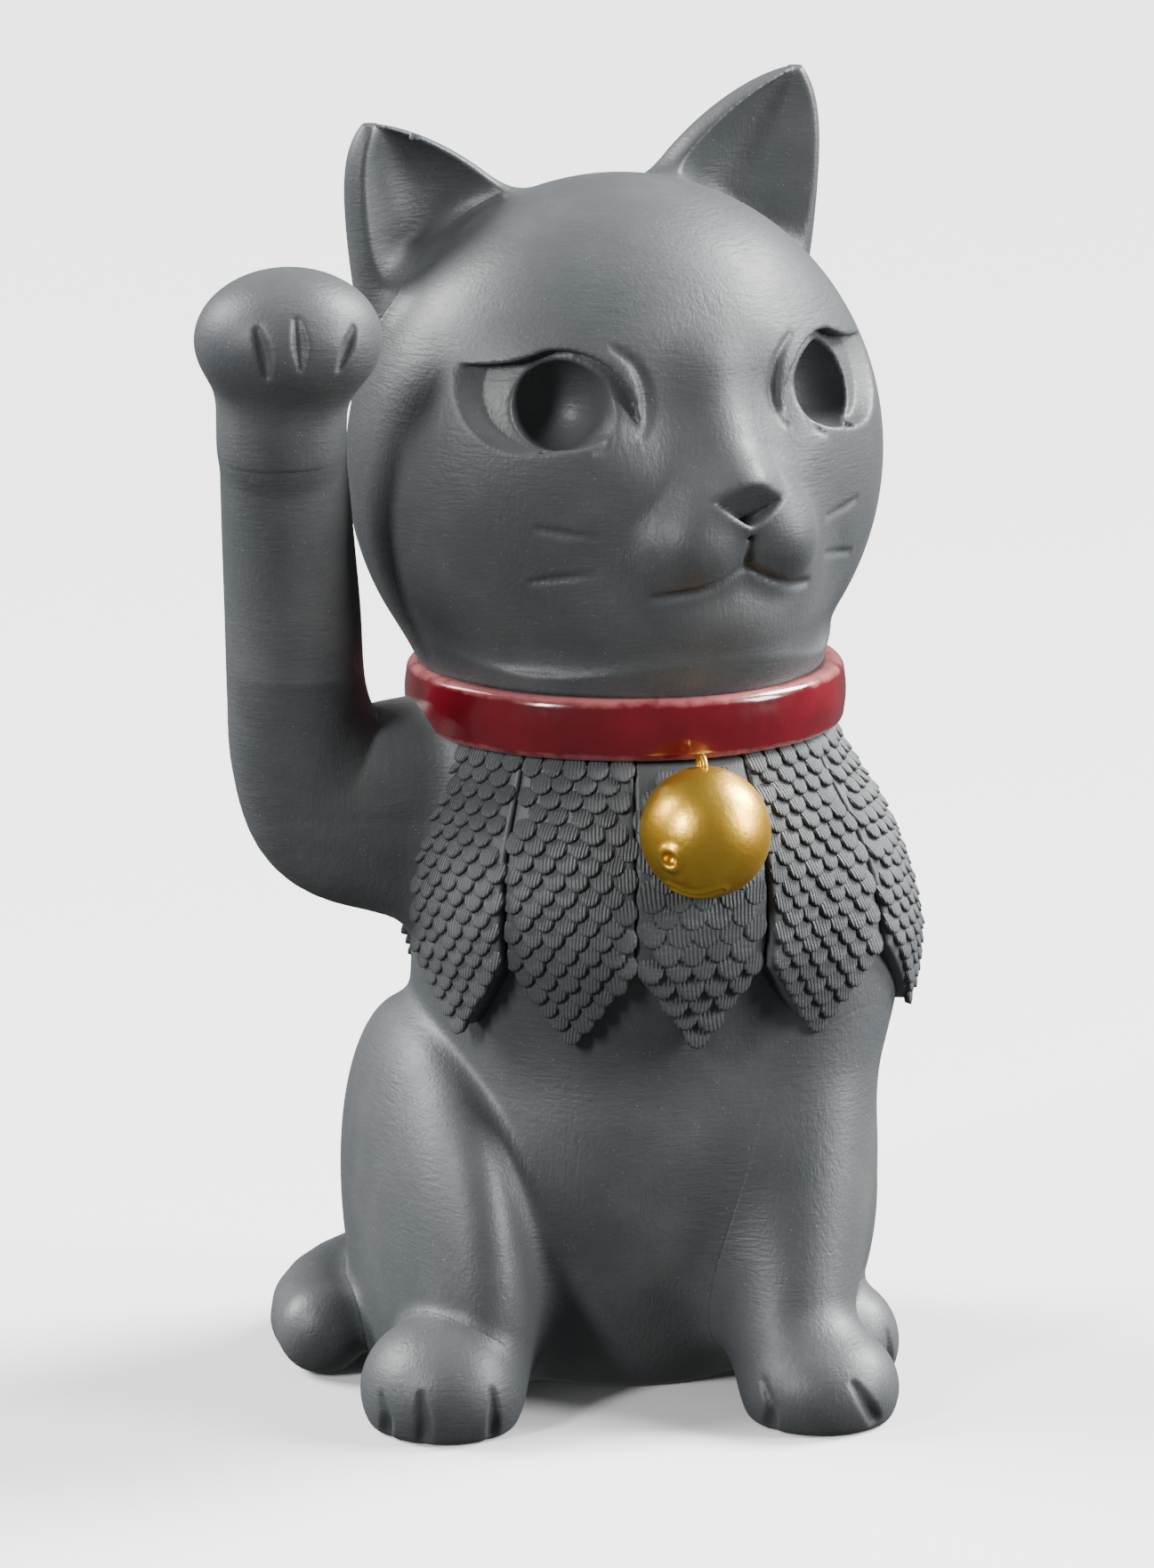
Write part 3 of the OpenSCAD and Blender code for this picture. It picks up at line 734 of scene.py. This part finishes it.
def scale_master():
    """One scale in metres: a U-shaped shingle whose lower edge stands off; y points up the bib."""
    around_count = 12
    rings = [(0.0, 0.10), (0.45, 0.09), (0.8, 0.02), (0.96, -0.10), (1.0, -0.28), (1.0, -1.1)]
    points, comb = [(0, 0, 0.0)], [(0, 0, 0)]
    faces = []
    half = 2.12

    def seat(x, y):
        return 0.36 - 0.31 * y

    points[0] = (0, 0, seat(0, 0) + rings[0][1])
    for r, lift in rings[1:]:
        for k in range(around_count):
            a = 2 * math.pi * k / around_count
            x, y = half * r * math.cos(a), half * r * math.sin(a) * (1.1 if math.sin(a) > 0 else 1.2)
            x *= 1.0 if math.sin(a) <= 0 else 0.98
            points.append((x, y, seat(x, y) + lift))
            comb.append((x, y, 0))
    points.append((0, 0, -1.3))
    comb.append((0, 0, 0))
    for k in range(around_count):
        n = (k + 1) % around_count
        faces.append((0, 1 + k, 1 + n))
        for ring in range(len(rings) - 2):
            base = 1 + ring * around_count
            faces.append((base + k, base + around_count + k, base + around_count + n, base + n))
        last = 1 + (len(rings) - 2) * around_count
        faces.append((last + n, last + k, len(points) - 1))
    mesh = bpy.data.meshes.new("scale_master")
    mesh.from_pydata([(x * MM, y * MM, z * MM) for x, y, z in points], [], faces)
    lane = mesh.attributes.new("comb", "FLOAT_VECTOR", "POINT")
    lane.data.foreach_set("vector", np.array(comb, np.float32).ravel())
    mesh.shade_smooth()
    return bpy.data.objects.new("scale_master", mesh)


def scale_tree():
    """Sets one scale on every point, turned to the point's outward and upward directions."""
    tree = bpy.data.node_groups.new("scales", "GeometryNodeTree")
    face = tree.interface
    face.new_socket("Geometry", in_out="INPUT", socket_type="NodeSocketGeometry")
    face.new_socket("Scale Object", in_out="INPUT", socket_type="NodeSocketObject")
    face.new_socket("Material", in_out="INPUT", socket_type="NodeSocketMaterial")
    face.new_socket("Size Spread", in_out="INPUT", socket_type="NodeSocketFloat")
    face.new_socket("Turn Spread", in_out="INPUT", socket_type="NodeSocketFloat")
    face.new_socket("Seed", in_out="INPUT", socket_type="NodeSocketInt")
    face.new_socket("Geometry", in_out="OUTPUT", socket_type="NodeSocketGeometry")
    nodes, links = tree.nodes, tree.links
    start, end = nodes.new("NodeGroupInput"), nodes.new("NodeGroupOutput")

    def named(name, kind):
        node = nodes.new("GeometryNodeInputNamedAttribute")
        node.data_type = kind
        node.inputs["Name"].default_value = name
        return node.outputs["Attribute"]

    shape = nodes.new("GeometryNodeObjectInfo")
    links.new(start.outputs["Scale Object"], shape.inputs["Object"])
    out = nodes.new("FunctionNodeAlignRotationToVector")
    out.axis = "Z"
    links.new(named("outward", "FLOAT_VECTOR"), out.inputs["Vector"])
    rise = nodes.new("FunctionNodeAlignRotationToVector")
    rise.axis = "Y"
    rise.pivot_axis = "Z"
    links.new(out.outputs["Rotation"], rise.inputs["Rotation"])
    links.new(named("upward", "FLOAT_VECTOR"), rise.inputs["Vector"])

    def spread(socket, centre):
        """Random value per point in centre plus or minus an input."""
        low, high = nodes.new("ShaderNodeMath"), nodes.new("ShaderNodeMath")
        low.operation, high.operation = "SUBTRACT", "ADD"
        for node in (low, high):
            node.inputs[0].default_value = centre
            links.new(start.outputs[socket], node.inputs[1])
        draw = nodes.new("FunctionNodeRandomValue")
        draw.data_type = "FLOAT"
        links.new(low.outputs[0], draw.inputs[2])
        links.new(high.outputs[0], draw.inputs[3])
        links.new(start.outputs["Seed"], draw.inputs["Seed"])
        return draw.outputs[1]

    twist = nodes.new("ShaderNodeCombineXYZ")
    links.new(spread("Turn Spread", 0.0), twist.inputs["Z"])
    tilt = nodes.new("FunctionNodeRotateRotation")
    tilt.rotation_space = "LOCAL"
    to_rotation = nodes.new("FunctionNodeEulerToRotation")
    links.new(twist.outputs[0], to_rotation.inputs[0])
    links.new(rise.outputs["Rotation"], tilt.inputs["Rotation"])
    links.new(to_rotation.outputs[0], tilt.inputs["Rotate By"])
    size = nodes.new("ShaderNodeMath")
    size.operation = "MULTIPLY"
    links.new(named("size", "FLOAT"), size.inputs[0])
    links.new(spread("Size Spread", 1.0), size.inputs[1])
    shape_scale = nodes.new("ShaderNodeCombineXYZ")
    height = nodes.new("ShaderNodeMath")
    height.operation = "MULTIPLY"
    links.new(size.outputs[0], height.inputs[0])
    links.new(named("relief", "FLOAT"), height.inputs[1])
    for axis, socket in (("X", size), ("Y", size), ("Z", height)):
        links.new(socket.outputs[0], shape_scale.inputs[axis])
    place = nodes.new("GeometryNodeInstanceOnPoints")
    links.new(start.outputs["Geometry"], place.inputs["Points"])
    links.new(shape.outputs["Geometry"], place.inputs["Instance"])
    links.new(tilt.outputs["Rotation"], place.inputs["Rotation"])
    links.new(shape_scale.outputs[0], place.inputs["Scale"])
    real = nodes.new("GeometryNodeRealizeInstances")
    links.new(place.outputs[0], real.inputs[0])
    dress = nodes.new("GeometryNodeSetMaterial")
    links.new(real.outputs[0], dress.inputs["Geometry"])
    links.new(start.outputs["Material"], dress.inputs["Material"])
    links.new(dress.outputs[0], end.inputs[0])
    return tree


scale_bisque = bisque_material("dark_bisque_combed", ribbed=True)
master = scale_master()
bpy.context.collection.objects.link(master)
scales = scale_tree()


BELL_PETAL = 2


def scale_places(index, outside):
    """Staggered rows of places for scales on one petal, with a margin to its edges."""
    pitch_x, pitch_z = (4.8, 3.2) if index == BELL_PETAL else (4.15, 2.6)
    drift = np.random.default_rng(40 + index)
    places = []
    span = math.radians(PETAL_SPAN)
    row, z = 0, TIP_Z + 1.6
    while z < PETAL_TOP_Z - 1.0:
        middle = outside(np.array([0.5]), np.array([z]))[0]
        width = span * math.hypot(middle[0], middle[1])
        count = int(width / pitch_x) + 2
        for k in range(-count, count + 1):
            u = 0.5 + (k + 0.5 * (row % 2)) * pitch_x / width
            margin = 1.1 / width
            if margin < u < 1 - margin and z - petal_end(np.array([u]))[0] > 1.3:
                places.append((u + drift.normal(0, 0.13) / width, z + drift.normal(0, 0.12)))
        row, z = row + 1, z + pitch_z
    return np.array(places), (1.16 if index == BELL_PETAL else 1.0)


def scales_on(index, outside):
    places, size = scale_places(index, outside)
    u, z = places[:, 0], places[:, 1]
    here = outside(u, z)
    step = 0.4
    along = outside(u + 0.01, z) - outside(u - 0.01, z)
    rise = outside(u, z + step) - outside(u, z - step)
    rise /= np.linalg.norm(rise, axis=1, keepdims=True)
    outward = np.cross(along, rise)
    outward /= np.linalg.norm(outward, axis=1, keepdims=True)
    # The scales near the bell are rubbed almost flat
    bell_gap = np.linalg.norm(here - np.array([0, -46, 100]), axis=1)
    relief = np.clip((bell_gap - 11) / 9, 0.15, 1.0)
    mesh = bpy.data.meshes.new("scale_points")
    mesh.from_pydata((here * MM + AXIS).tolist(), [], [])
    for name, values in (("outward", outward), ("upward", rise)):
        mesh.attributes.new(name, "FLOAT_VECTOR", "POINT").data.foreach_set(
            "vector", values.astype(np.float32).ravel())
    for name, values in (("size", np.full(len(u), size)), ("relief", relief)):
        mesh.attributes.new(name, "FLOAT", "POINT").data.foreach_set("value", values.astype(np.float32))
    holder = bpy.data.objects.new("scale_points", mesh)
    bpy.context.collection.objects.link(holder)
    modifier = holder.modifiers.new("scales", "NODES")
    modifier.node_group = scales
    wanted = {"Scale Object": master, "Material": scale_bisque, "Size Spread": 0.09, "Turn Spread": 0.16,
              "Seed": 7 + index}
    for item in scales.interface.items_tree:
        if item.item_type == "SOCKET" and item.in_out == "INPUT" and item.name in wanted:
            modifier[item.identifier] = wanted[item.name]
    holder.update_tag()
    bpy.context.view_layer.update()
    ready = holder.evaluated_get(bpy.context.evaluated_depsgraph_get())
    plain = bpy.data.meshes.new_from_object(ready)
    holder.modifiers.clear()
    bpy.data.objects.remove(holder)
    return plain


def merge(made, other):
    """Adds a plain mesh to a finished piece; both keep their materials."""
    extra = bpy.data.objects.new("extra", other)
    bpy.context.collection.objects.link(extra)
    with bpy.context.temp_override(active_object=made, selected_editable_objects=[made, extra]):
        bpy.ops.object.join()


for index in range(PETALS):
    name = f"petal_{index + 1:02d}"
    points, faces, outside = petal_plate(index)
    made = solid(name, points, faces)
    made.data.materials.append(bisque)
    merge(made, scales_on(index, outside))
    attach(made, "root")
    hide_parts(name)
bpy.data.objects.remove(master)

# ---- Collar -------------------------------------------------------------------------------------
# A flat band thrown in one piece with rounded edges, under a thick dark red glaze. Both edges carry a
# pale red painted highlight and reflection, broken up by noise.


def glaze_material():
    made = bpy.data.materials.new("dark_red_glaze")
    made.use_nodes = True
    tree = made.node_tree
    shader = tree.nodes["Principled BSDF"]
    even = stretched(tree, (1, 1, 1))
    pool = shade(tree, "ShaderNodeTexNoise", Vector=even, Scale=60.0, Detail=4.0)
    deep = ramp(tree, pool.outputs["Fac"], [(0.3, (0.085, 0.003, 0.007)), (0.7, (0.17, 0.006, 0.014))])
    # Painted highlight and reflection: the edge mask, broken up by noise, mixes a pale red into both edges of
    # the band
    edge = tree.nodes.new("ShaderNodeAttribute")
    edge.attribute_name = "thin"
    ragged = shade(tree, "ShaderNodeTexNoise", Vector=even, Scale=300.0, Detail=4.0)
    ragged_painted_edge_light = shade(tree, "ShaderNodeMath")
    ragged_painted_edge_light.operation = "MULTIPLY"
    tree.links.new(edge.outputs["Fac"], ragged_painted_edge_light.inputs[0])
    tree.links.new(ragged.outputs["Fac"], ragged_painted_edge_light.inputs[1])
    painted_edge_light_mix = ramp(tree, ragged_painted_edge_light.outputs[0], [(0.18, grey(0)), (0.5, grey(1))])
    colour = shade(tree, "ShaderNodeMix")
    colour.data_type = "RGBA"
    tree.links.new(painted_edge_light_mix, colour.inputs["Factor"])
    tree.links.new(deep, colour.inputs[6])
    colour.inputs[7].default_value = (0.42, 0.12, 0.12, 1)
    tree.links.new(colour.outputs[2], shader.inputs["Base Color"])
    gloss = ramp(tree, ragged.outputs["Fac"], [(0.3, grey(0.14)), (0.8, grey(0.26))])
    tree.links.new(gloss, shader.inputs["Roughness"])
    shader.inputs["Coat Weight"].default_value = 0.6
    shader.inputs["Coat Roughness"].default_value = 0.06
    ripple = shade(tree, "ShaderNodeTexNoise", Vector=even, Scale=160.0, Detail=2.0)
    bump = shade(tree, "ShaderNodeBump", Strength=0.25, Distance=0.0004, Height=ripple.outputs["Fac"])
    tree.links.new(bump.outputs["Normal"], shader.inputs["Normal"])
    return made


def revolve(name, profile, turns):
    """Closed ring of a profile of (radius, height) pairs in millimetres."""
    profile = np.array(profile)
    angles = np.linspace(0, 2 * math.pi, turns, endpoint=False)
    wave = 0.12 * np.sin(3 * angles + 0.7) + 0.08 * np.sin(7 * angles)
    points = np.array([((r + w) * math.cos(a), (r + w) * math.sin(a), z)
                       for a, w in zip(angles, wave) for r, z in profile])
    n = len(profile)
    faces = [(j * n + i, (j + 1) % turns * n + i, (j + 1) % turns * n + (i + 1) % n, j * n + (i + 1) % n)
             for j in range(turns) for i in range(n)]
    return solid(name, points, faces)


COLLAR_R = 39.0
edge_r = 1.9
profile = []
for corner_z, first in ((SHELF_Z + edge_r, -90), (BRIM_Z - edge_r, 0)):
    for k in range(9):
        a = math.radians(first + 90 * k / 8)
        profile.append((COLLAR_R - edge_r + edge_r * math.cos(a), corner_z + edge_r * math.sin(a)))
for k in range(1, 8):
    bulge = 0.35 * math.sin(math.pi * k / 8)
    profile.insert(8 + k, (COLLAR_R + bulge, SHELF_Z + edge_r + (BRIM_Z - SHELF_Z - 2 * edge_r) * k / 8))
profile += [(NECK_R + 0.2, BRIM_Z), (NECK_R + 0.2, SHELF_Z)]
collar = revolve("collar", profile, 192)
heights = np.array([v.co.z for v in collar.data.vertices]) / MM
radii = np.array([math.hypot(v.co.x - AXIS[0], v.co.y - AXIS[1]) for v in collar.data.vertices]) / MM
# Painted highlight and reflection mask: 0 across the middle of the band, rising to 1 at its top and bottom
# edges
thin = np.clip((np.abs(heights - NECK_Z) - 3.4) / 2.0, 0, 1)
collar.data.attributes.new("thin", "FLOAT", "POINT").data.foreach_set("value", thin.astype(np.float32))
fit(collar, glaze_material(), "red_glaze", "collar")

# ---- Bell ---------------------------------------------------------------------------------------
# A hollow ball with a small raised dimple and a slot under it, on a wire loop that ends just short of the
# collar. Both are covered with satin gold lustre over a slightly pebbled glaze.


def lustre_material():
    made = bpy.data.materials.new("gold_lustre")
    made.use_nodes = True
    tree = made.node_tree
    shader = tree.nodes["Principled BSDF"]
    even = stretched(tree, (1, 1, 1))
    tone = shade(tree, "ShaderNodeTexNoise", Vector=even, Scale=120.0, Detail=4.0)
    colour = ramp(tree, tone.outputs["Fac"], [(0.3, (0.60, 0.33, 0.030)), (0.7, (0.84, 0.53, 0.075))])
    tree.links.new(colour, shader.inputs["Base Color"])
    rub = ramp(tree, tone.outputs["Fac"], [(0.3, grey(0.42)), (0.7, grey(0.30))])
    tree.links.new(rub, shader.inputs["Roughness"])
    shader.inputs["Metallic"].default_value = 0.92
    pebble = shade(tree, "ShaderNodeTexNoise", Vector=even, Scale=900.0, Detail=2.0)
    bump = shade(tree, "ShaderNodeBump", Strength=0.3, Distance=0.0002, Height=pebble.outputs["Fac"])
    tree.links.new(bump.outputs["Normal"], shader.inputs["Normal"])
    return made


gold = lustre_material()
BELL_AT = np.array([0, -46, 106.4])
BELL_R = 11.5
hole_way = np.array([-0.75, -0.62, -0.23])
hole_way /= np.linalg.norm(hole_way)


def bell_form(p):
    q = p - np.float32(BELL_AT)
    r = np.sqrt((q * q).sum(-1))
    ball = np.abs(r - BELL_R + 0.7) - 0.7
    spot = np.float32(hole_way * BELL_R)
    lip = np.sqrt((np.sqrt(((q - spot) ** 2).sum(-1)) - 1.9) ** 2 + (r - BELL_R) ** 2) - 0.35
    ball = blend(ball, lip, 1.2)
    ball = carve(ball, egg(q, spot, (1.15, 1.15, 1.15)), 0.5)
    # The slot curls under the ball from below the hole to the front
    track_points = []
    for k in range(9):
        t = k / 8
        a = math.radians(-64 + 66 * t)
        low = math.radians(-47 - 10 * math.sin(math.pi * t))
        track_points.append((BELL_R * math.cos(low) * math.sin(a), -BELL_R * math.cos(low) * math.cos(a),
                             BELL_R * math.sin(low)))
    slot = track(q, [(*point, 0) for point in track_points])
    lips = np.sqrt((slot - 1.0) ** 2 + (r - BELL_R) ** 2) - 0.22
    ball = blend(ball, lips, 1.0)
    ball = carve(ball, slot - 0.32, 0.4)
    # Flat back against the bib
    lean = math.radians(20)
    back = q[..., 1] * math.cos(lean) - q[..., 2] * math.sin(lean) - 1.5
    return np.maximum(ball, back)


made = cast("bell", bell_form, BELL_AT - 13, BELL_AT + 13, 0.3 * QUICK)
fit(made, gold, "gold_lustre", "bell")


def loop_form(p):
    q = p - np.float32(BELL_AT + np.array([0, 1.9, BELL_R - 0.2]))
    ring = np.sqrt((np.hypot(q[..., 1], q[..., 2]) - 1.7) ** 2 + q[..., 0] ** 2) - 0.6
    return np.maximum(ring, COLLAR_R + 0.1 - np.hypot(p[..., 0], p[..., 1]))


made = cast("bell_loop", loop_form, BELL_AT + (-4, -4, 7), BELL_AT + (4, 8, 17), 0.2 * QUICK)
fit(made, gold, "gold_lustre", "bell_loop")
